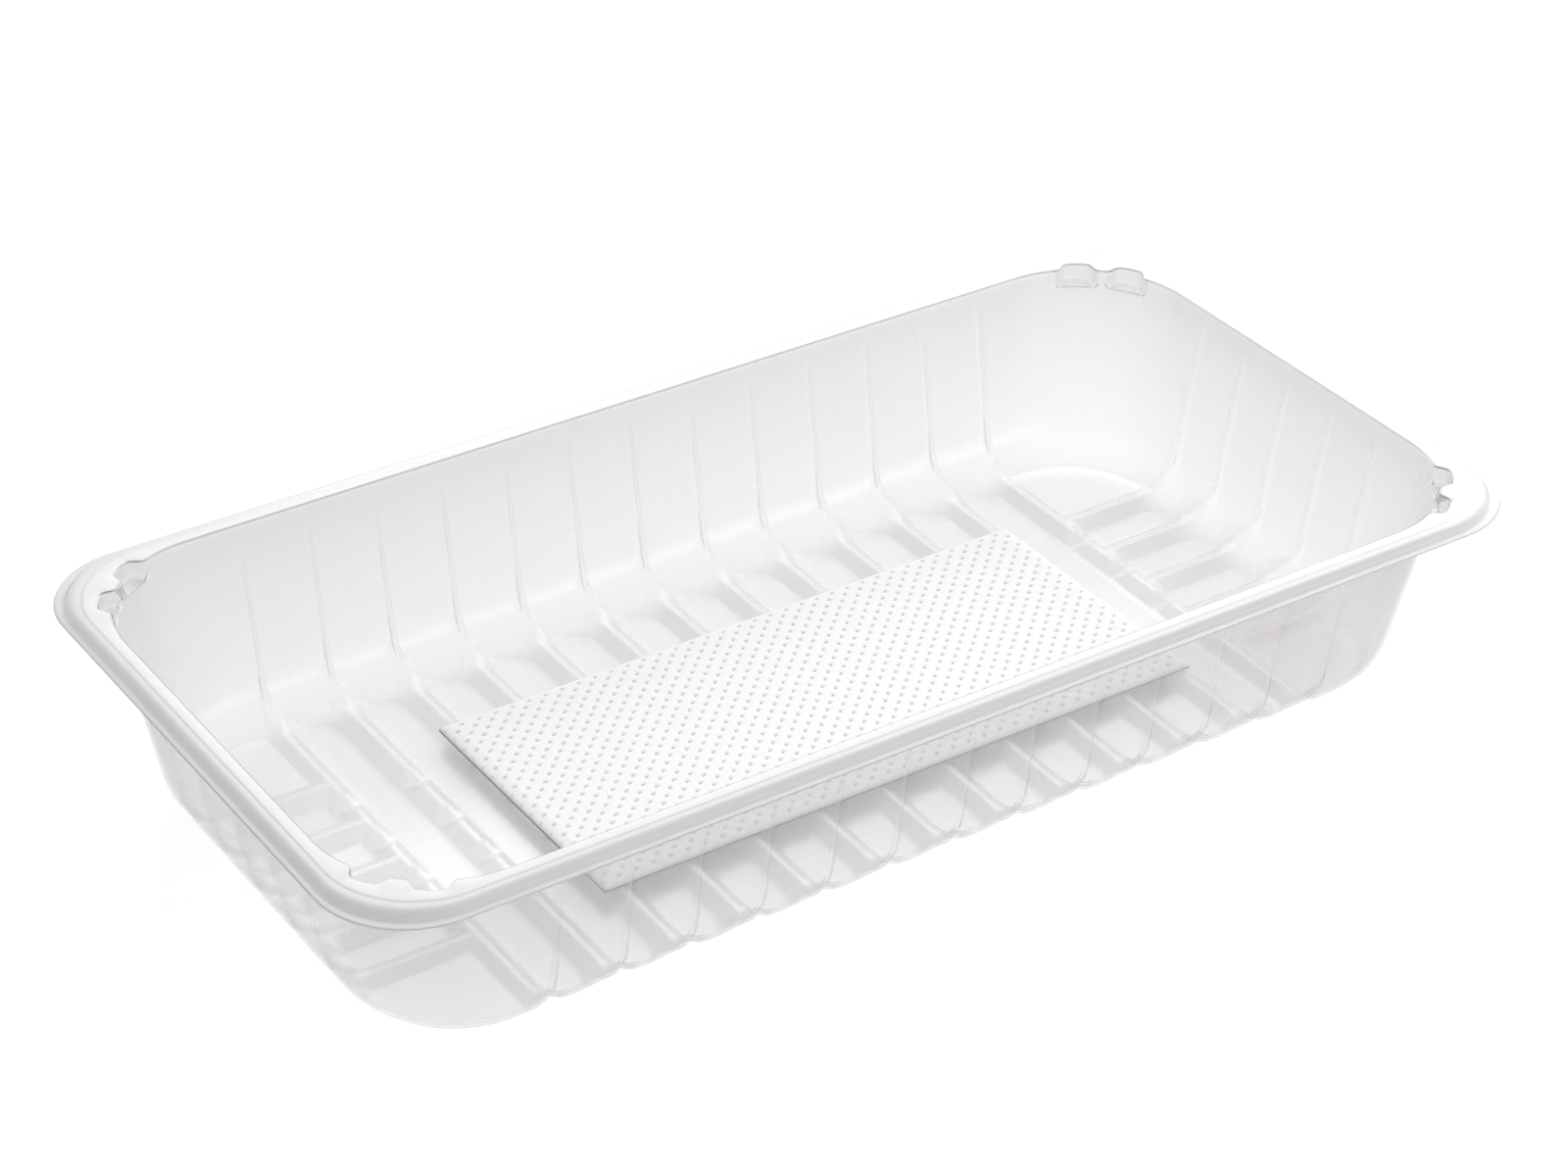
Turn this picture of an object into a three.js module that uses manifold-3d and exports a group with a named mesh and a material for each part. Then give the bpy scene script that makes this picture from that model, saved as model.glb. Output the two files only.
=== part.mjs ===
// Thin-walled ribbed food tray with a rolled flange, and the absorbent pad that lies in it.
// Millimetres, Z up. Origin: centre of the footprint, on the underside of the floor channels.
import * as THREE from "three";
import { mergeVertices } from "three/addons/utils/BufferGeometryUtils.js";
import Module from "manifold-3d";

const wasm = await Module();
wasm.setup();
const { Manifold, Mesh } = wasm;

// Driving dimensions
const height = 54;
const wall = 0.7;
const mouth = { halfX: 154.5, halfY: 77.25, radius: 31.5 };
const flangeCorner = 24.5;
const arcSteps = 8;
const rows = { pitch: 18.34, count: 13, crest: 1.0, foot: 3.75 };
const endRows = { pitch: 17.5, count: 5, crest: 1.0, foot: 4.4 };
const ridgeRise = 2.8;
const drain = { bottom: 0.25, opening: 3.55, lip: 0.25 };
const cornerLand = { rise: 1.1 };
const stackPocket = { fromAxis: 32.75, reach: 34.6, half: 4.5, depth: 4.2, round: 2.6, draft: 0.35 };
const pad = { length: 172, width: 78, thick: 1.7, offset: 7.9, corner: 1.2, gap: 0.3 };

// Inner face from the floor edge to the mouth: inset from the mouth line, height, corner radius.
const wallFace = [
  { inset: 14.9, z: wall, radius: 22.6 },
  { inset: 11.3, z: 4.0, radius: 26.2 },
  { inset: 9.0, z: 6.8, radius: 28.5 },
  { inset: 7.3, z: 10.0, radius: 30.2 },
  { inset: 6.3, z: 14.0, radius: 31.3 },
  { inset: 0.15, z: height - 0.6, radius: 31.4 },
];

// Crest of a rib from the floor up the wall, with its half widths at crest and foot.
const ribLine = [
  { inset: 19.0, z: 3.5, faceInset: 19.0, faceZ: wall, crest: 1, foot: 1 },
  { inset: 15.4, z: 3.8, faceInset: 14.9, faceZ: wall, crest: 0.95, foot: 0.98 },
  { inset: 12.6, z: 5.2, faceInset: 11.3, faceZ: 4.0, crest: 0.85, foot: 0.66 },
  { inset: 10.1, z: 7.9, faceInset: 9.0, faceZ: 6.8, crest: 0.75, foot: 0.52 },
  { inset: 8.2, z: 11.2, faceInset: 7.3, faceZ: 10.0, crest: 0.6, foot: 0.38 },
  { inset: 7.15, z: 14.6, faceInset: 6.3, faceZ: 14.0, crest: 0.5, foot: 0.32 },
  { inset: 2.2, z: 44, faceInset: 1.6, faceZ: 44, crest: 0.4, foot: 0.24 },
  { inset: 0.4, z: 50.5, faceInset: 0.62, faceZ: 50.5, crest: 0.3, foot: 0.2 },
];

// Closed section of the flange: distance out from the mouth line, height.
const flangeSection = [
  [-0.5, 54], [4.7, 54], [5.0, 53.88], [6.2, 53.85], [7.0, 53.44], [7.4, 52.6],
  [7.6, 50.3], [8.1, 49.9], [8.1, 49.4], [7.4, 49.4], [6.95, 50.0], [6.7, 52.4],
  [6.1, 53.05], [4.75, 53.05], [4.5, 53.3], [-0.5, 53.3],
];

const frostedPlastic = new THREE.MeshStandardMaterial({
  name: "frosted_plastic", color: 0xe4e8ea, roughness: 0.45, metalness: 0,
});
const padFleece = new THREE.MeshStandardMaterial({
  name: "pad_fleece", color: 0xf6f6f4, roughness: 0.9, metalness: 0,
});

function roundedRing(halfX, halfY, radius, z) {
  const ring = [];
  for (let quarter = 0; quarter < 4; quarter++) {
    const signX = quarter === 0 || quarter === 3 ? 1 : -1;
    const signY = quarter < 2 ? 1 : -1;
    for (let step = 0; step <= arcSteps; step++) {
      const angle = (quarter + step / arcSteps) * Math.PI / 2;
      ring.push([
        signX * (halfX - radius) + radius * Math.cos(angle),
        signY * (halfY - radius) + radius * Math.sin(angle),
        z,
      ]);
    }
  }
  return ring;
}

// Skins a list of rings with the same point count; caps both ends unless the skin closes on itself.
function loft(rings, closed = false) {
  const count = rings[0].length;
  const points = rings.flat();
  const faces = [];
  const last = closed ? rings.length : rings.length - 1;
  for (let row = 0; row < last; row++) {
    for (let side = 0; side < count; side++) {
      const a = row * count + side;
      const b = row * count + (side + 1) % count;
      const up = (row + 1) % rings.length * count - row * count;
      faces.push(a, b, b + up, a, b + up, a + up);
    }
  }
  if (!closed) {
    const top = (rings.length - 1) * count;
    for (let side = 1; side < count - 1; side++) {
      faces.push(0, side + 1, side);
      faces.push(top, top + side, top + side + 1);
    }
  }
  const geometry = new THREE.BufferGeometry();
  geometry.setAttribute("position", new THREE.Float32BufferAttribute(points.flat(), 3));
  geometry.setIndex(faces);
  return geometry;
}

function toSolid(geometry) {
  const bare = geometry.clone();
  bare.deleteAttribute("normal");
  bare.deleteAttribute("uv");
  const merged = mergeVertices(bare, 1e-5);
  const solid = new Manifold(new Mesh({
    numProp: 3,
    vertProperties: new Float32Array(merged.attributes.position.array),
    triVerts: new Uint32Array(merged.index.array),
  }));
  if (solid.volume() < 0) throw new Error("a solid is inside out");
  return solid;
}

function toMesh(solid, name, material) {
  const data = solid.getMesh();
  const geometry = new THREE.BufferGeometry();
  geometry.setAttribute("position", new THREE.BufferAttribute(data.vertProperties, 3));
  geometry.setIndex(new THREE.BufferAttribute(data.triVerts, 1));
  geometry.computeVertexNormals();
  const mesh = new THREE.Mesh(geometry, material);
  mesh.name = name;
  return mesh;
}

// Moves a polyline sideways by a set distance, to the right of its direction of travel.
function offsetLine(line, distance) {
  const normals = line.slice(1).map(([u, z], index) => {
    const length = Math.hypot(u - line[index][0], z - line[index][1]);
    return [(z - line[index][1]) / length, -(u - line[index][0]) / length];
  });
  return line.map(([u, z], index) => {
    const before = normals[Math.max(index - 1, 0)];
    const after = normals[Math.min(index, normals.length - 1)];
    const scale = distance / (1 + before[0] * after[0] + before[1] * after[1]);
    return [u + scale * (before[0] + after[0]), z + scale * (before[1] + after[1])];
  });
}

// The smooth body without ribs: grow = 0 gives the inner face, grow = wall the outer face.
function bodySolid(grow, topZ) {
  const line = wallFace.map((point) => [-point.inset, point.z]);
  const moved = offsetLine([[line[0][0] - 1, line[0][1]], ...line], grow).slice(1);
  const rings = moved.map(([out, z], index) => roundedRing(
    mouth.halfX + out, mouth.halfY + out,
    wallFace[index].radius + out + wallFace[index].inset, z,
  ));
  const rim = moved[moved.length - 1][0] + (grow ? 0 : 0.4);
  if (!grow) rings.push(roundedRing(mouth.halfX + rim, mouth.halfY + rim, mouth.radius + rim, height));
  rings.push(roundedRing(mouth.halfX + rim, mouth.halfY + rim, mouth.radius + rim, topZ));
  return toSolid(loft(rings));
}

// Stations of a rib between the floor and the wall top, as trapezoids in the plane across the rib.
function ribStations(mouthHalf, size, shrink) {
  const sunk = 0.8;
  const crestLine = offsetLine(ribLine.map((point) => [mouthHalf - point.inset, point.z]), shrink);
  const faceLine = ribLine.map((point) => [mouthHalf - point.faceInset, point.faceZ]);
  const footLine = offsetLine(faceLine, sunk + shrink);
  return ribLine.map((point, index) => {
    const rise = Math.max(Math.hypot(point.inset - point.faceInset, point.z - point.faceZ), 0.4);
    const crest = Math.max(size.crest * point.crest - 0.42 * shrink, 0.12);
    const foot = Math.max(size.foot * point.foot - 0.42 * shrink, crest + 0.25);
    return {
      crest: crestLine[index],
      foot: footLine[index],
      crestHalf: crest,
      footHalf: foot + (foot - crest) * sunk / rise,
    };
  });
}

function ribRing(station, place) {
  const [crestU, crestZ] = station.crest;
  const [footU, footZ] = station.foot;
  return [
    place(footU, -station.footHalf, footZ),
    place(footU, station.footHalf, footZ),
    place(crestU, station.crestHalf, crestZ),
    place(crestU, -station.crestHalf, crestZ),
  ];
}

// A rib that runs across the floor and up both long walls.
function crossRib(x, shrink) {
  const half = ribStations(mouth.halfY, rows, shrink);
  const near = [...half].reverse().map((station) => (
    ribRing(station, (along, side, z) => [x - side, -along, z])));
  const far = half.map((station) => ribRing(station, (along, side, z) => [x - side, along, z]));
  return toSolid(loft([...near, ...far]));
}

// A rib that runs from the last cross rib to an end wall and up it.
function endRib(sign, y, shrink) {
  const stations = ribStations(mouth.halfX, endRows, shrink);
  const start = { ...stations[0] };
  start.crest = [rowX(rows.count - 1), stations[0].crest[1]];
  start.foot = [rowX(rows.count - 1), stations[0].foot[1]];
  const rings = [start, ...stations].map((station) => (
    ribRing(station, (along, side, z) => [sign * along, y + sign * side, z])));
  return toSolid(loft(rings));
}

function rowX(index) {
  return (index - (rows.count - 1) / 2) * rows.pitch;
}

function endRowY(index) {
  return (index - (endRows.count - 1) / 2) * endRows.pitch;
}

// V-shaped notch across all cross ribs, half way between two end ribs.
function drainNotch(y, shrink) {
  const reach = rowX(rows.count - 1) + rows.foot + 3;
  const bottom = wall + drain.lip - shrink;
  const low = drain.bottom + 0.25 * shrink;
  const slope = (drain.opening - drain.bottom) / (ridgeRise - drain.lip);
  const top = bottom + 6;
  const ring = (x) => [
    [x, y - low, bottom], [x, y + low, bottom],
    [x, y + low + slope * 6, top], [x, y - low - slope * 6, top],
  ];
  return toSolid(loft([ring(-reach), ring(reach)]));
}

function cornerBlock(signX, signY, shrink) {
  const x0 = rowX(rows.count - 1);
  const y0 = endRowY(endRows.count - 1);
  const top = wall + cornerLand.rise - shrink;
  const box = new THREE.BoxGeometry(45, 45, top + 2);
  box.translate(signX * (x0 + 22.5), signY * (y0 + 22.5), top / 2 - 1);
  return toSolid(box);
}

// Everything that stands up from the floor and walls: shrink = wall for the hollow side below.
function ribNetwork(shrink) {
  const indexes = [...Array(rows.count).keys()];
  const crossRibs = Manifold.union(indexes.map((index) => crossRib(rowX(index), shrink)));
  const notches = [-1.5, -0.5, 0.5, 1.5].map((step) => drainNotch(step * endRows.pitch, shrink));
  const pieces = [crossRibs.subtract(Manifold.union(notches))];
  for (const sign of [-1, 1]) {
    for (let index = 0; index < endRows.count; index++) {
      pieces.push(endRib(sign, endRowY(index), shrink));
    }
    pieces.push(cornerBlock(sign, 1, shrink), cornerBlock(sign, -1, shrink));
  }
  return Manifold.union(pieces);
}

// The outer edge keeps one tight corner radius, so the flange is widest at its corners.
function flangeRing() {
  const rings = flangeSection.map(([out, z]) => {
    const radius = out > 0 ? flangeCorner : mouth.radius + out;
    return roundedRing(mouth.halfX + out, mouth.halfY + out, radius, z);
  });
  return toSolid(loft(rings.reverse(), true));
}

// One scalloped pocket on a corner arc, seen from the arc's centre.
function stackingPocket(signX, signY, degrees, grow, topZ) {
  const angle = degrees * Math.PI / 180;
  const centre = [mouth.halfX - mouth.radius, mouth.halfY - mouth.radius];
  const ring = (draft, z) => {
    const reach = stackPocket.reach + grow - draft;
    const half = stackPocket.half + grow - draft;
    const round = stackPocket.round;
    const outline = [
      [25, -half], [reach - round, -half], [reach - 0.3 * round, -half + 0.3 * round],
      [reach, -half + round], [reach, half - round],
      [reach - 0.3 * round, half - 0.3 * round], [reach - round, half], [25, half],
    ];
    const placed = outline.map(([u, v]) => [
      signX * (centre[0] + u * Math.cos(angle) - v * Math.sin(angle)),
      signY * (centre[1] + u * Math.sin(angle) + v * Math.cos(angle)),
      z,
    ]);
    return signX * signY > 0 ? placed : placed.reverse();
  };
  const floorZ = height - stackPocket.depth - grow;
  return toSolid(loft([ring(stackPocket.draft, floorZ), ring(0, topZ)]));
}

function stackingPockets(grow, topZ) {
  const pockets = [];
  for (const signX of [-1, 1]) {
    for (const signY of [-1, 1]) {
      for (const degrees of [stackPocket.fromAxis, 90 - stackPocket.fromAxis]) {
        pockets.push(stackingPocket(signX, signY, degrees, grow, topZ));
      }
    }
  }
  return Manifold.union(pockets);
}

function traySolid() {
  const hollow = bodySolid(0, height + 3).subtract(ribNetwork(0)).add(stackingPockets(0, height + 3));
  const skin = bodySolid(wall, height - 0.35).subtract(ribNetwork(wall));
  const pockets = stackingPockets(wall, height - 0.35);
  return skin.add(pockets).add(flangeRing()).subtract(hollow);
}

function padSolid() {
  const base = wall + ridgeRise + pad.gap;
  const steps = [[0.5, 0], [0, 0.35], [0, 0.8], [0.5, 1.35], [1.6, pad.thick]];
  const rings = steps.map(([inset, z]) => roundedRing(
    pad.length / 2 - inset, pad.width / 2 - inset, pad.corner, base + z));
  return toSolid(loft(rings)).translate([pad.offset, 0, 0]);
}

const part = new THREE.Group();
part.name = "ribbed_food_tray";
part.add(toMesh(traySolid(), "tray", frostedPlastic));
part.add(toMesh(padSolid(), "absorbent_pad", padFleece));

export default part;
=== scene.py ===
import bpy, bmesh, math
from mathutils import Vector, Matrix


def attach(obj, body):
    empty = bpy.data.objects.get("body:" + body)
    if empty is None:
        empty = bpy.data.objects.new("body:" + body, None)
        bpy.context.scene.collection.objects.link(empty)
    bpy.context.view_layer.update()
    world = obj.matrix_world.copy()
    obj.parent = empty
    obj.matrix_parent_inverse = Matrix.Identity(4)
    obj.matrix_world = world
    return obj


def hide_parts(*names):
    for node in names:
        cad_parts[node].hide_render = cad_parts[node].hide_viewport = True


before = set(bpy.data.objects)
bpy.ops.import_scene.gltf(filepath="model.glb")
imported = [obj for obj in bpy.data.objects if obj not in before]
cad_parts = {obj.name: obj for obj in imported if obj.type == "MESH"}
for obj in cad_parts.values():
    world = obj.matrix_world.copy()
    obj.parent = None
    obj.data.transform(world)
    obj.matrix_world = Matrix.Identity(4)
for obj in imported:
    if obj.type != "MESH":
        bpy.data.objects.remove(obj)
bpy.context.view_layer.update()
bpy.context.scene.view_settings.view_transform = "Standard"
bpy.context.scene.cycles.transparent_max_bounces = 32
print("frame loaded")

# All sizes are in millimetres; finishMesh scales each mesh to metres.
tray = dict(
    halfX=154.5, halfY=77.25, mouthCorner=31.5, cornerTaper=0.1, floorInset=37.5, wall=0.7,
    rise=2.8, crest=1.0, crestReach=1.4, lastHold=2.4, ribEase=0.28, endRound=4.0, channelEnd=14.9,
    roundFrom=9, leastRise=0.9, padRise=1.1, padEase=0.08, endEase=0.1,
)
# V-shaped notches in the cross ribs let liquid run along the tray.
notch = dict(lip=0.25, half=3.55, ease=0.2, blend=0.12)
# Cross ribs run over the floor and up the long walls, and end ribs run up the end walls.
# Around each rib stand lines of vertices at these steps from its centre, with more past the last rib.
ribs = {
    "long": dict(
        pitch=18.34, count=13, foot=3.75, out=tray["halfY"], along=tray["halfX"],
        steps=(0.65, 1.0, 1.35, 3.35, 3.75, 4.3, 6.3), outer=(3.35, 3.75, 4.3, 5.4),
    ),
    "end": dict(
        pitch=17.5, count=5, foot=4.4, out=tray["halfX"], along=tray["halfY"],
        steps=(0.65, 1.0, 1.35, 4.0, 4.4, 4.9, 5.4, 8.3), outer=(4.0, 4.4),
    ),
}
# Rows from the floor out: inset from the mouth line and height of the channel face, then of the rib
# crest, corner radius, and half widths of crest and foot as shares of those on the floor.
faceRows = [
    (tray["floorInset"], 0.7, tray["floorInset"], 3.5, 0.0, 1, 1),
    (27.5, 0.7, 27.5, 3.5, 10.0, 1, 1),
    (21.5, 0.7, 21.5, 3.5, 16.0, 1, 1),
    (18.9, 0.7, 18.9, 3.52, 18.6, 1, 1),
    (17.2, 0.7, 17.3, 3.58, 20.3, 1, 1),
    (15.9, 0.7, 16.2, 3.68, 21.6, 0.98, 1),
    (15.2, 0.72, 15.6, 3.78, 22.3, 0.96, 1),
    (14.6, 0.85, 15.1, 3.9, 22.9, 0.94, 0.96),
    (13.7, 1.75, 14.3, 4.2, 23.8, 0.9, 0.86),
    (12.5, 2.9, 13.4, 4.7, 25.0, 0.87, 0.76),
    (11.4, 4.0, 12.5, 5.35, 26.1, 0.84, 0.66),
    (10.2, 5.3, 11.4, 6.35, 27.3, 0.79, 0.59),
    (9.0, 6.8, 10.1, 7.9, 28.5, 0.73, 0.52),
    (8.1, 8.3, 9.15, 9.4, 29.4, 0.67, 0.45),
    (7.3, 10.2, 8.05, 10.95, 30.2, 0.58, 0.38),
    (6.65, 12.4, 7.35, 13.0, 30.9, 0.5, 0.36),
    (6.2, 15.0, 6.84, 15.4, 31.3, 0.42, 0.34),
    (5.3, 21.0, 5.87, 21.25, 31.3, 0.36, 0.33),
    (4.05, 29.0, 4.6, 29.2, 31.3, 0.32, 0.32),
    (2.8, 37.0, 3.3, 37.12, 31.4, 0.3, 0.31),
    (1.85, 43.0, 2.3, 43.07, 31.4, 0.28, 0.3),
    (1.35, 46.3, 1.7, 46.3, 31.4, 0.27, 0.29),
    (1.0, 48.4, 1.18, 48.4, 31.4, 0.25, 0.27),
    (0.82, 49.6, 0.85, 49.6, 31.4, 0.25, 0.26),
]
# Rows of the upper wall and the mouth's edge: inset and height, then how far short of its full
# depth a stacking pocket's back wall is, and its height.
mouthRows = [
    (0.75, 50.0, 3.9, 49.78), (0.68, 50.5, 1.2, 49.82), (0.6, 51.0, 0.45, 50.0), (0.5, 51.7, 0.2, 50.6),
    (0.3, 52.9, 0.1, 52.6), (0.22, 53.3, 0.05, 53.2), (0.1, 53.63, -0.08, 53.63),
    (-0.1, 53.85, -0.25, 53.85), (-0.35, 53.97, -0.45, 53.97), (-0.6, 54.0, -0.7, 54.0),
]
# Rows of the flange: distance out from the mouth line and height. It has a fine groove, a rolled
# edge, a short skirt and a lip.
flangeRows = [
    (2.6, 54.0), (2.95, 54.0), (3.12, 53.95), (3.28, 53.9), (3.5, 53.89), (4.5, 53.88), (5.0, 53.78),
    (5.45, 53.5), (5.8, 53.08), (6.05, 52.6), (6.25, 52.2), (6.5, 52.0), (6.9, 51.95), (7.7, 51.95),
    (8.0, 51.9), (8.1, 51.65),
]
flangeCorner = 23


# The smaller of two values, with the step from one to the other rounded over a width.
def softMin(a, b, width):
    overlap = max(width - abs(a - b), 0) / width
    return min(a, b) - overlap ** 2 * width / 4


def softMax(a, b, width):
    return -softMin(-a, -b, width)


# Share of full rib height at a distance from its centre line, with eased edges.
def ribShare(distance, foot):
    slope = (foot - distance) / (foot - tray["crest"])
    return softMin(1, softMax(0, slope, tray["ribEase"]), tray["ribEase"])


# Where a column that belongs to a rib stands once the rib narrows up the wall.
def ribOffset(distance, rib, crestScale, footScale):
    crest, foot, middle = tray["crest"], rib["foot"], rib["pitch"] / 2
    if distance <= crest:
        return distance * crestScale
    if distance <= foot:
        share = (distance - crest) / (foot - crest)
        return crest * crestScale + share * (foot * footScale - crest * crestScale)
    share = (distance - foot) / (middle - foot)
    return foot * footScale + share * (middle - foot * footScale)


def nearestRib(value, rib):
    side = rib["count"] // 2
    return max(-side, min(side, round(value / rib["pitch"]))) * rib["pitch"]


def lastRib(rib):
    return rib["count"] // 2 * rib["pitch"]


def gridLines(rib):
    lines = []
    side, last = rib["count"] // 2, lastRib(rib)
    for index in range(-side, side + 1):
        centre = index * rib["pitch"]
        lines += [centre + sign * step for step in rib["steps"] for sign in (-1, 1)]
        if index < side:
            lines.append(centre + rib["pitch"] / 2)
    lines = [value for value in lines if abs(value) < last + tray["crestReach"]]
    for step in rib["outer"]:
        lines += [last + step, -last - step]
    core = rib["along"] - tray["floorInset"]
    lines += [core, -core]
    return sorted(set(round(value, 4) for value in lines))


xLines = gridLines(ribs["long"])
yLines = gridLines(ribs["end"])
# Angles of the corner's columns up to its middle, close together at a pocket's side walls.
halfCorner = [4, 8, 12, 16, 20, 22.9, 23.5, 24.1, 24.8, 25.5, 26.3, 27.3, 28.5, 29.9, 31.3, 32.75]
halfCorner += [34.2, 35.6, 37, 38.2, 39.2, 40, 40.7, 41.4, 42, 42.6, 43.6]
cornerAngles = halfCorner + [45] + [90 - value for value in reversed(halfCorner)]


# Share of a cross rib's height, less at the notches, which lie halfway between the end ribs.
def crossShare(x, y):
    share = ribShare(abs(x - nearestRib(x, ribs["long"])), ribs["long"]["foot"])
    pitch = ribs["end"]["pitch"]
    valley = min(abs(abs(y) - pitch * 0.5), abs(abs(y) - pitch * 1.5))
    slope = (tray["rise"] - notch["lip"]) / notch["half"]
    height = softMax(notch["lip"], notch["lip"] + valley * slope, notch["ease"]) / tray["rise"]
    return softMin(share, height, notch["blend"])


# Share of rib height on the flat floor, where the corners have a raised land.
def floorShare(x, y):
    share = max(crossShare(x, y), 0)
    if abs(x) > lastRib(ribs["long"]):
        end = ribShare(abs(y - nearestRib(y, ribs["end"])), ribs["end"]["foot"])
        share = softMax(share, end, tray["endEase"])
        if abs(y) > lastRib(ribs["end"]):
            share = softMax(share, tray["padRise"] / tray["rise"], tray["padEase"])
    return min(share, 1)


# Extra height where a channel's end is rounded off.
def roundedEnd(distance, foot, beyond):
    side, radius = foot - distance, tray["endRound"]
    rounded = max(side, beyond)
    if min(side, beyond) > -radius:
        rounded = Vector((max(side + radius, 0), max(beyond + radius, 0))).length - radius
    return max(rounded, 0) - max(side, beyond, 0)


# The columns of vertices that run once round the tray.
def columnList():
    columns = [("end", 1, y) for y in yLines]
    columns += [("corner", (1, 1), a) for a in cornerAngles]
    columns += [("long", 1, x) for x in reversed(xLines)]
    columns += [("corner", (-1, 1), a) for a in reversed(cornerAngles)]
    columns += [("end", -1, y) for y in reversed(yLines)]
    columns += [("corner", (-1, -1), a) for a in cornerAngles]
    columns += [("long", -1, x) for x in xLines]
    columns += [("corner", (1, -1), a) for a in reversed(cornerAngles)]
    return columns


# A vertex of a straight side on one of the face rows.
def sidePoint(kind, sign, along, row):
    inset, z, crestInset, crestZ, radius, crestScale, footScale = row
    rib = ribs[kind]
    centre, last = nearestRib(along, rib), lastRib(rib)
    distance = abs(along - centre)
    share = ribShare(distance, rib["foot"])
    outside = abs(along) > last
    land = tray["wall"] + tray["padRise"]
    if not outside and inset > tray["roundFrom"]:
        extra = roundedEnd(distance, rib["foot"], tray["channelEnd"] - inset)
        share = min(1, share + extra / max(crestZ - z, tray["leastRise"]))
    if outside and z < land:
        share = softMax(share, (land - z) / (crestZ - z), tray["padEase"])
    out = rib["out"] - (inset + (crestInset - inset) * share)
    height = z + (crestZ - z) * share
    moved = ribOffset(distance, rib, crestScale, footScale)
    place = centre + math.copysign(moved, along - centre)
    held, core = last + tray["lastHold"], rib["along"] - tray["floorInset"]
    if abs(along) > held:
        straight = rib["along"] - inset - radius
        share = (abs(along) - held) / (core - held)
        place = math.copysign(abs(place) + share * (straight - core), along)
        if abs(along) >= core - 1e-3:
            place = math.copysign(straight, along)
    return (place, sign * out, height) if kind == "long" else (sign * out, place, height)


# Two stacking pockets in each corner, at this angle from its two ends. Sizes are radii about the
# corner's centre, half widths and depths.
pocket = dict(
    axis=32.75, span=33.4, depth=3.3, crown=0.7, half=4.4, ease=2.7, least=0.01, floor=30.7, foot=30.75,
)


# How far out the stacking pocket's back wall is on this angle, or None between pockets.
def pocketReach(angle):
    for middle in (pocket["axis"], 90 - pocket["axis"]):
        across = abs(math.tan(math.radians(angle - middle))) * pocket["span"]
        share = (pocket["half"] + pocket["ease"] / 2 - across) / pocket["ease"]
        if share > pocket["least"]:
            share = min(share, 1)
            depth = pocket["depth"] - pocket["crown"] * (across / pocket["half"]) ** 2
            return tray["mouthCorner"] + depth * share * share * (3 - 2 * share)
    return None


def cornerPoint(signs, angle, inset, z, radius):
    centreX, centreY = tray["halfX"] - inset - radius, tray["halfY"] - inset - radius
    turn = math.radians(angle)
    x, y = centreX + radius * math.cos(turn), centreY + radius * math.sin(turn)
    return (signs[0] * x, signs[1] * y, z)


# A vertex at a distance from the centre of the mouth's corner arc.
def radialPoint(signs, angle, reach, z):
    return cornerPoint(signs, angle, tray["mouthCorner"] - reach, z, reach)


def mouthPoint(column, row):
    kind, sign, along = column
    inset, z, short, pocketZ = row
    radius = tray["mouthCorner"] - max(inset, 0) * tray["cornerTaper"]
    if kind != "corner":
        x, y, _ = sidePoint(kind, sign, along, (inset, z, inset, z, radius, *faceRows[-1][5:]))
        return (x, y, z)
    reach = pocketReach(along)
    if reach is None:
        return cornerPoint(sign, along, inset, z, radius)
    out = pocket["foot"] if row == mouthRows[0] else max(reach - short, pocket["floor"])
    return radialPoint(sign, along, out, pocketZ)


# The flange's corner arc is tighter than the mouth's and has another centre.
def flangePoint(column, row):
    kind, sign, along = column
    out, z = row
    full = tray["mouthCorner"] + out
    if kind != "corner":
        return sidePoint(kind, sign, along, (-out, z, -out, z, full, *faceRows[-1][5:]))
    turn = math.radians(along)
    cosine, sine = math.cos(turn), math.sin(turn)
    shift = full - flangeCorner
    reach = shift * (cosine + sine) + math.sqrt(flangeCorner ** 2 - shift ** 2 * (cosine - sine) ** 2)
    reach = min(reach, full / cosine, full / sine)
    if min(cosine, sine) * reach < shift:
        reach = full / max(cosine, sine)
    return radialPoint(sign, along, reach, z)


# The vertex on row k of a column, counted from the floor out.
def ringPoint(column, k):
    kind, sign, along = column
    if k < len(faceRows):
        row = faceRows[k]
        if kind != "corner":
            return sidePoint(kind, sign, along, row)
        return cornerPoint(sign, along, row[0], max(row[1], tray["wall"] + tray["padRise"]), row[4])
    k -= len(faceRows)
    if k < len(mouthRows):
        return mouthPoint(column, mouthRows[k])
    return flangePoint(column, flangeRows[k - len(mouthRows)])


# A grid whose vertices are moved to place(i, j); marks pairs vertex layers with their value in row j.
def gridPatch(bm, across, up, place, marks=()):
    made = bmesh.ops.create_grid(bm, x_segments=across, y_segments=up, size=1)
    for vert in made["verts"]:
        i = round((vert.co.x + 1) / 2 * across)
        j = round((vert.co.y + 1) / 2 * up)
        vert.co = place(i, j)
        for layer, value in marks:
            vert[layer] = value(j)


def finishMesh(name, bm, smooth=True):
    bmesh.ops.scale(bm, vec=(0.001,) * 3, verts=bm.verts)
    mesh = bpy.data.meshes.new(name)
    bm.to_mesh(mesh)
    bm.free()
    if smooth:
        mesh.shade_smooth()
    obj = bpy.data.objects.new(name, mesh)
    bpy.context.scene.collection.objects.link(obj)
    return obj


# What the plastic's material reads: where the sheet gets thick, how frosted it looks between two
# heights, and which rows of the mouth and the flange get painted shade as dark edges.
plastic = dict(
    thickFrom=7, thickOver=2, floorFrost=0.36, wallFrost=0.4, frostFrom=8, frostTo=50,
    mouthEdge=range(5, 9), rolledEdge=range(7, 11), rolledEdgeShade=0.5, rimRows=2,
)


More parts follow.
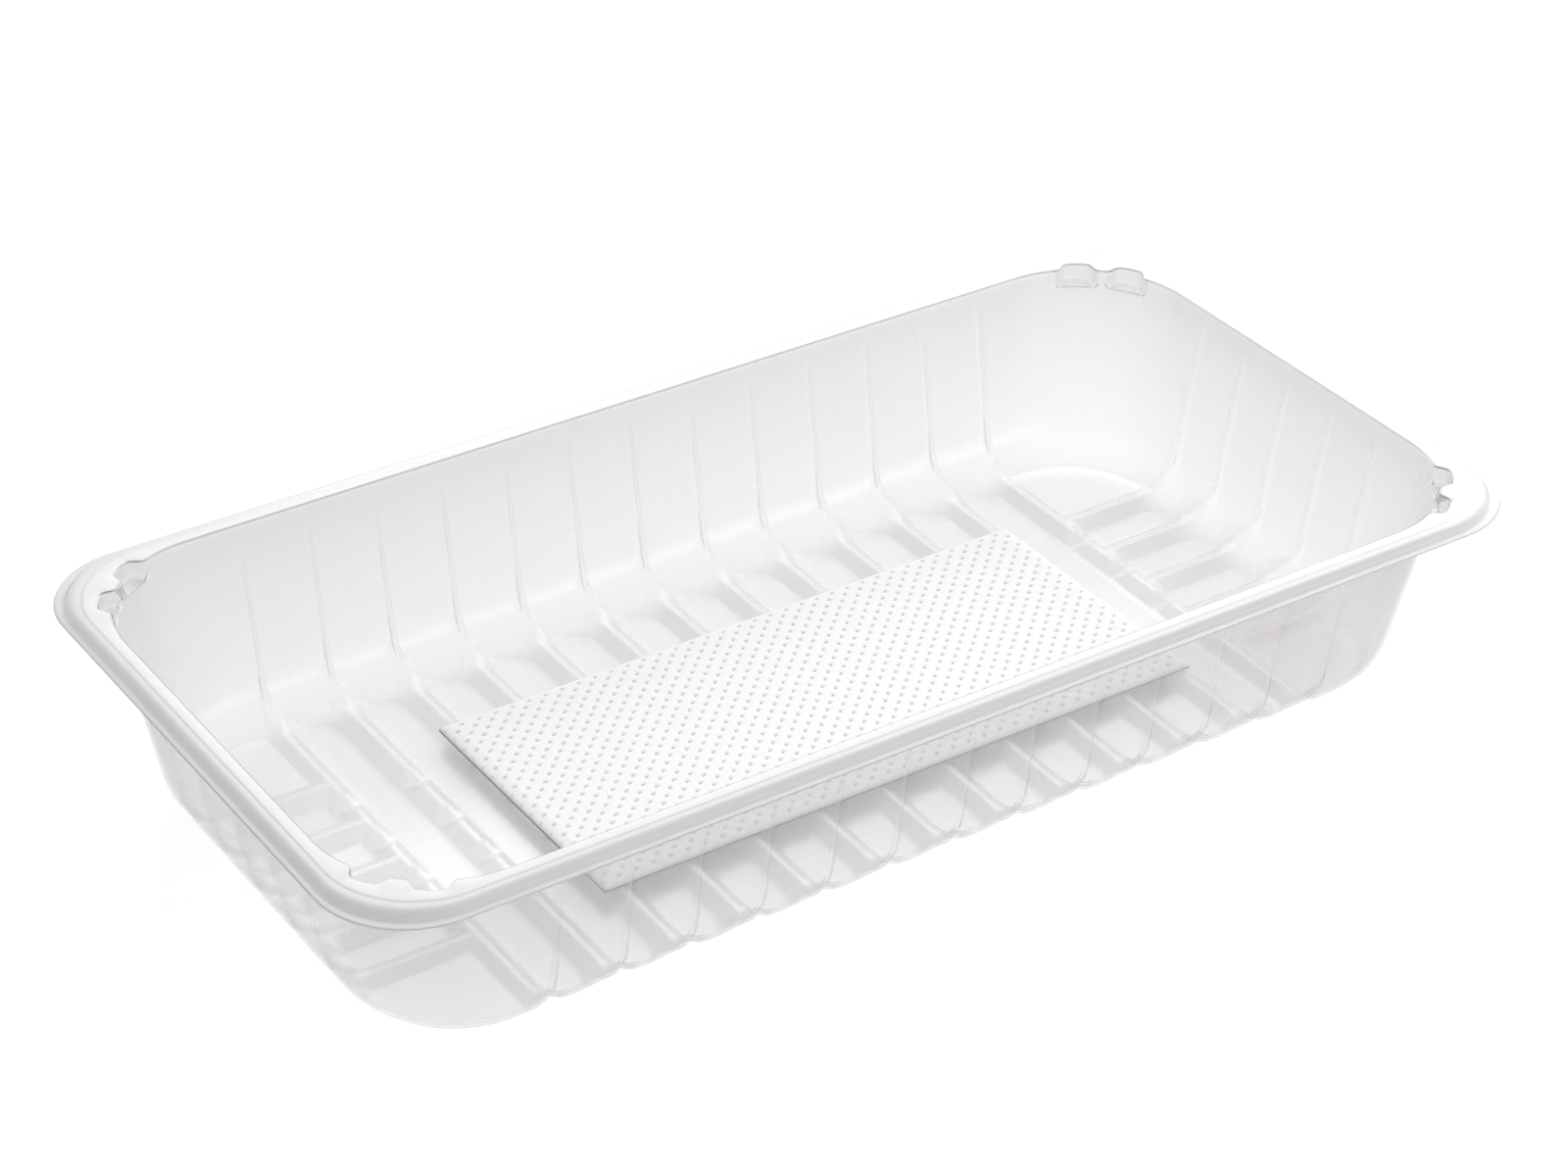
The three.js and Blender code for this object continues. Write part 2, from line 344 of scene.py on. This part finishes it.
# The formed sheet stays thick, and so milky, at the flange.
def sheetThickness(k):
    return max(0, min((k - len(faceRows) - plastic["thickFrom"]) / plastic["thickOver"], 1))


# How frosted a row looks: least at the stretched foot of the wall, most at its top.
def frostLevel(k):
    z = faceRows[min(k, len(faceRows) - 1)][1]
    low, start = plastic["wallFrost"], plastic["frostFrom"]
    rising = low + (1 - low) * max(z - start, 0) / (plastic["frostTo"] - start)
    return max(rising, plastic["floorFrost"] - (plastic["floorFrost"] - low) * z / start)


# Painted edge shade: 1 on the rounded mouth edge, dark where it is seen along its depth, less on
# the rolled edge, and up to 2 on the cut rim.
def paintedEdgeShade(k):
    k -= len(faceRows)
    if k < len(mouthRows):
        return 1 if k in plastic["mouthEdge"] else 0
    k -= len(mouthRows)
    if k in plastic["rolledEdge"]:
        return plastic["rolledEdgeShade"]
    return max(0, k - (len(flangeRows) - 1 - plastic["rimRows"]))


def makeTray():
    bm = bmesh.new()
    thick, frost, edge = (bm.verts.layers.float.new(name) for name in ("thick", "frost", "edge"))
    columns = columnList()
    rowCount = len(faceRows) + len(mouthRows) + len(flangeRows)
    marks = [(thick, sheetThickness), (frost, frostLevel), (edge, paintedEdgeShade)]
    gridPatch(bm, len(columns), rowCount - 1, lambda i, k: ringPoint(columns[i % len(columns)], k), marks)

    def floorPoint(i, j):
        x, y = xLines[i], yLines[j]
        if i in (0, len(xLines) - 1):
            return sidePoint("end", math.copysign(1, x), y, faceRows[0])
        if j in (0, len(yLines) - 1):
            return sidePoint("long", math.copysign(1, y), x, faceRows[0])
        return (x, y, tray["wall"] + tray["rise"] * floorShare(x, y))

    floorMarks = [(frost, lambda j: plastic["floorFrost"])]
    gridPatch(bm, len(xLines) - 1, len(yLines) - 1, floorPoint, floorMarks)
    bmesh.ops.remove_doubles(bm, verts=bm.verts, dist=0.002)
    bmesh.ops.recalc_face_normals(bm, faces=bm.faces)
    middle = min(bm.faces, key=lambda face: face.calc_center_median().length)
    if middle.normal.z < 0:
        bmesh.ops.reverse_faces(bm, faces=bm.faces)
    obj = finishMesh("tray_skin", bm)
    sheet = obj.modifiers.new("wall", "SOLIDIFY")
    sheet.thickness = tray["wall"] / 1000
    sheet.offset = -1
    sheet.use_even_offset = True
    return obj


traySkin = makeTray()
print("tray", len(traySkin.data.polygons))

# The pad lies on the ribs. Its dimples stand in two staggered sets of cells.
pad = dict(
    length=172, width=78, base=3.8, thick=1.7, offset=7.9, across=288, up=136,
    rimShare=0.45, rimWidth=3.0, cellX=4.76, cellY=4.58, dent=0.45, size=0.8, dentFade=1.5,
    # The last four values set painted shadow on the pad's side faces: left end, near edge, the rest, and
    # the band width.
    paintedShadeEnd=2.0, paintedShadeNear=1.3, paintedShadeRim=0.4, rimBand=1,
)


# Depth of the staggered dimples at a point of the pad.
def dentDepth(x, y):
    deepest = 0
    for shift in (0, 0.5):
        across = (x / pad["cellX"] + shift + 0.5) % 1 - 0.5
        up = (y / pad["cellY"] + shift + 0.5) % 1 - 0.5
        share = math.hypot(across * pad["cellX"], up * pad["cellY"]) / pad["size"]
        deepest = max(deepest, math.cos(min(share, 1) * math.pi / 2) ** 2)
    return pad["dent"] * deepest


def toPadEdge(x, y):
    return min(pad["length"] / 2 - abs(x), pad["width"] / 2 - abs(y))


# Painted shadow on the pad's side faces: darkest at its left end, less at its near edge, light elsewhere,
# in place of the shadow under the pad's edge.
def paintedSideShadow(place):
    if place.x < pad["offset"] - pad["length"] / 2 + pad["rimBand"]:
        return pad["paintedShadeEnd"]
    return pad["paintedShadeNear"] if place.y < pad["rimBand"] - pad["width"] / 2 else pad["paintedShadeRim"]


def makePad():
    bm = bmesh.new()
    shade = bm.verts.layers.float.new("pad_painted_shade")

    def place(i, j):
        x = (i / pad["across"] * 2 - 1) * pad["length"] / 2
        y = (j / pad["up"] * 2 - 1) * pad["width"] / 2
        edge = toPadEdge(x, y)
        rounding = math.sqrt(min(edge / pad["rimWidth"], 1))
        z = pad["thick"] * min(1, pad["rimShare"] + (1 - pad["rimShare"]) * rounding)
        z -= dentDepth(x, y) * min(edge / pad["dentFade"], 1)
        return (x + pad["offset"], y, pad["base"] + z)

    gridPatch(bm, pad["across"], pad["up"], place)
    for vert in bm.verts:
        x, y = vert.co.x - pad["offset"], vert.co.y
        # Painted shade: the dimples darken with their depth.
        vert[shade] = dentDepth(x, y) / pad["dent"] * min(toPadEdge(x, y), 1)
    rim = [edge for edge in bm.edges if edge.is_boundary]
    skirt = bmesh.ops.extrude_edge_only(bm, edges=rim)["geom"]
    # The side faces get the painted shadow below.
    for vert in (item for item in skirt if isinstance(item, bmesh.types.BMVert)):
        vert.co.z = pad["base"]
        vert[shade] = paintedSideShadow(vert.co)
    bmesh.ops.contextual_create(bm, geom=[item for item in skirt if isinstance(item, bmesh.types.BMEdge)])
    bmesh.ops.recalc_face_normals(bm, faces=bm.faces)
    return finishMesh("pad_fleece", bm)


padPiece = makePad()
print("pad", len(padPiece.data.polygons))


def newMaterial(name):
    material = bpy.data.materials.new(name)
    material.use_nodes = True
    material.node_tree.nodes.clear()
    return material, material.node_tree


# A node with sockets or settings given by name.
def node(tree, kind, **values):
    made = tree.nodes.new(kind)
    for key, value in values.items():
        if key in made.inputs:
            made.inputs[key].default_value = value
        else:
            setattr(made, key, value)
    return made


def showSurface(tree, shader):
    tree.links.new(shader, node(tree, "ShaderNodeOutputMaterial").inputs["Surface"])


# A value that runs from low to high as the input runs from start to end.
def spread(tree, value, low, high, start=0, end=1):
    made = node(tree, "ShaderNodeMapRange")
    for name, limit in (("From Min", start), ("From Max", end), ("To Min", low), ("To Max", high)):
        made.inputs[name].default_value = limit
    tree.links.new(value, made.inputs["Value"])
    return made.outputs["Result"]


# From low for a surface that faces the eye to high for one seen edge on.
def facingFactor(tree, blend, low, high, start=0, end=1):
    weight = node(tree, "ShaderNodeLayerWeight", Blend=blend)
    return spread(tree, weight.outputs["Facing"], low, high, start, end)


def attribute(tree, name):
    return node(tree, "ShaderNodeAttribute", attribute_name=name).outputs["Fac"]


def calculate(tree, operation, *values):
    made = node(tree, "ShaderNodeMath", operation=operation)
    for socket, value in zip(made.inputs, values):
        if isinstance(value, (int, float)):
            socket.default_value = value
        else:
            tree.links.new(value, socket)
    return made.outputs[0]


def blendColours(tree, factor, first, second):
    made = node(tree, "ShaderNodeMixRGB", Color1=first, Color2=second, use_clamp=True)
    tree.links.new(factor, made.inputs["Fac"])
    return made.outputs["Color"]


def blendShaders(tree, factor, first, second):
    made = node(tree, "ShaderNodeMixShader")
    for socket, value in zip(made.inputs, (factor, first, second)):
        tree.links.new(value, socket)
    return made.outputs[0]


# Clear sheet with a haze that grows at glancing angles, with the frosting and with the thickness.
def frostedBody(tree, frost, thick):
    front = node(tree, "ShaderNodeBsdfDiffuse", Color=(0.88, 0.868, 0.873, 1))
    behind = node(tree, "ShaderNodeBsdfTranslucent", Color=(0.86, 0.85, 0.85, 1))
    through = calculate(tree, "MULTIPLY_ADD", thick, -0.3, 0.4)
    haze = blendShaders(tree, through, front.outputs[0], behind.outputs[0])
    clear = node(tree, "ShaderNodeBsdfTransparent")
    tint = blendColours(tree, frost, (0.97, 0.965, 0.965, 1), (0.832, 0.824, 0.828, 1))
    tree.links.new(tint, clear.inputs["Color"])
    frosting = calculate(tree, "MULTIPLY_ADD", frost, 0.7, 0.3)
    milky = calculate(tree, "MULTIPLY", facingFactor(tree, 0.25, 0.08, 0.42), frosting)
    milky = calculate(tree, "MULTIPLY_ADD", thick, 0.62, milky)
    return blendShaders(tree, milky, clear.outputs[0], haze)


# How much painted shade darkens the edges: the mouth edge at glancing angles, the cut rim from all sides.
def paintedRimShade(tree, edge):
    turned = facingFactor(tree, 0.1, 0, 0.8, 0.18, 0.36)
    rounded = calculate(tree, "MULTIPLY", calculate(tree, "MINIMUM", edge, 1), turned)
    cut = calculate(tree, "MAXIMUM", calculate(tree, "SUBTRACT", edge, 1), 0)
    return calculate(tree, "MULTIPLY_ADD", cut, 0.16, rounded)


def frostedPlastic():
    material, tree = newMaterial("frosted_plastic")
    frost, thick, edge = (attribute(tree, name) for name in ("frost", "thick", "edge"))
    gloss = node(tree, "ShaderNodeBsdfGlossy", Color=(1, 1, 1, 1), Roughness=0.28)
    shine = facingFactor(tree, 0.05, 0.02, 0.8)
    surface = blendShaders(tree, shine, frostedBody(tree, frost, thick), gloss.outputs[0])
    # A dark see-through layer, mixed in at the edges as painted shade.
    edgeShadeLayer = node(tree, "ShaderNodeBsdfTransparent", Color=(0.3, 0.3, 0.3, 1))
    showSurface(tree, blendShaders(tree, paintedRimShade(tree, edge), surface, edgeShadeLayer.outputs[0]))
    return material


# White matt fibres; the grey is painted shade, in the dimples and as painted shadow on the pad's side.
def padFleece():
    material, tree = newMaterial("pad_fleece")
    coord = node(tree, "ShaderNodeTexCoord")
    fibre = node(tree, "ShaderNodeTexNoise", Scale=1400.0, Detail=4.0)
    bump = node(tree, "ShaderNodeBump", Strength=0.15, Distance=0.0002)
    surface = node(tree, "ShaderNodeBsdfPrincipled", Roughness=0.85)
    colour = blendColours(tree, attribute(tree, "pad_painted_shade"), (0.97, 0.965, 0.965, 1), (0.42, 0.42, 0.42, 1))
    tree.links.new(coord.outputs["Object"], fibre.inputs["Vector"])
    tree.links.new(fibre.outputs["Fac"], bump.inputs["Height"])
    tree.links.new(colour, surface.inputs["Base Color"])
    tree.links.new(bump.outputs["Normal"], surface.inputs["Normal"])
    showSurface(tree, surface.outputs[0])
    return material


traySkin.data.materials.append(frostedPlastic())
padPiece.data.materials.append(padFleece())
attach(traySkin, "root")
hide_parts("tray")
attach(padPiece, "root")
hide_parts("absorbent_pad")
print("materials")

# The floor lies just under the tray, so that the two don't share a plane.
studio = dict(floorSize=4000, floorDrop=0.1, floorGlow=0.57, daylight=0.7, backdrop=1)


# 1 for the rays that show the backdrop: straight, in gloss or through the sheet.
def seenRay(tree):
    paths = node(tree, "ShaderNodeLightPath").outputs
    seen = calculate(tree, "MAXIMUM", paths["Is Camera Ray"], paths["Is Glossy Ray"])
    return calculate(tree, "MAXIMUM", seen, paths["Is Transmission Ray"])


def whiteFloor():
    material, tree = newMaterial("white_floor")
    matte = node(tree, "ShaderNodeBsdfDiffuse", Color=(0.56, 0.56, 0.56, 1))
    glow = node(tree, "ShaderNodeEmission")
    strength = calculate(tree, "MULTIPLY", seenRay(tree), studio["floorGlow"])
    tree.links.new(strength, glow.inputs["Strength"])
    add = node(tree, "ShaderNodeAddShader")
    for socket, shader in zip(add.inputs, (matte, glow)):
        tree.links.new(shader.outputs[0], socket)
    showSurface(tree, add.outputs[0])
    return material


def makeFloor():
    bm = bmesh.new()
    lowered = Matrix.Translation((0, 0, -studio["floorDrop"]))
    bmesh.ops.create_grid(bm, x_segments=1, y_segments=1, size=studio["floorSize"], matrix=lowered)
    floor = finishMesh("floor", bm, smooth=False)
    floor.data.materials.append(whiteFloor())


def makeWorld():
    world = bpy.data.worlds.new("studio")
    world.use_nodes = True
    bpy.context.scene.world = world
    tree = world.node_tree
    backdrop = tree.nodes["Background"]
    backdrop.inputs["Color"].default_value = (1, 1, 1, 1)
    level = spread(tree, seenRay(tree), studio["daylight"], studio["backdrop"])
    tree.links.new(level, backdrop.inputs["Strength"])


# Places and sizes of the lamps and the camera are in metres.
def addLamp(name, place, target, size, power):
    data = bpy.data.lights.new(name, "AREA")
    data.shape = "RECTANGLE"
    data.size, data.size_y = size
    data.energy = power
    lamp = bpy.data.objects.new(name, data)
    lamp.location = place
    lamp.rotation_euler = (Vector(target) - Vector(place)).to_track_quat("-Z", "Y").to_euler()
    bpy.context.scene.collection.objects.link(lamp)


# Where the photo was taken from, as solved from the tray's straight edges.
view = dict(
    azimuth=-34.282, elevation=32.715, roll=0.754, place=(-0.44355, -0.65711, 0.54684),
    lens=89.15, sensor=36, shift=(-0.016, 0.004),
)


def addCamera():
    azimuth, elevation, roll = (math.radians(view[name]) for name in ("azimuth", "elevation", "roll"))
    level = math.cos(elevation)
    back = Vector((math.sin(azimuth) * level, -math.cos(azimuth) * level, math.sin(elevation)))
    right = Vector((math.cos(azimuth), math.sin(azimuth), 0))
    up = back.cross(right)
    turnedRight = right * math.cos(roll) + up * math.sin(roll)
    turnedUp = up * math.cos(roll) - right * math.sin(roll)
    turn = Matrix((turnedRight, turnedUp, back)).transposed().to_4x4()
    data = bpy.data.cameras.new("camera")
    data.lens = view["lens"]
    data.sensor_width = view["sensor"]
    data.shift_x, data.shift_y = view["shift"]
    camera = bpy.data.objects.new("camera", data)
    camera.matrix_world = Matrix.Translation(view["place"]) @ turn
    bpy.context.scene.collection.objects.link(camera)
    bpy.context.scene.camera = camera


makeFloor()
makeWorld()
addLamp("back_light", (0.72, 0.62, 0.62), (0, 0, 0), (1.3, 0.9), 10.8)
addLamp("front_fill", (0.5, -0.95, 0.13), (0.03, 0, 0.03), (0.9, 0.2), 2.5)
addCamera()
print("stage")
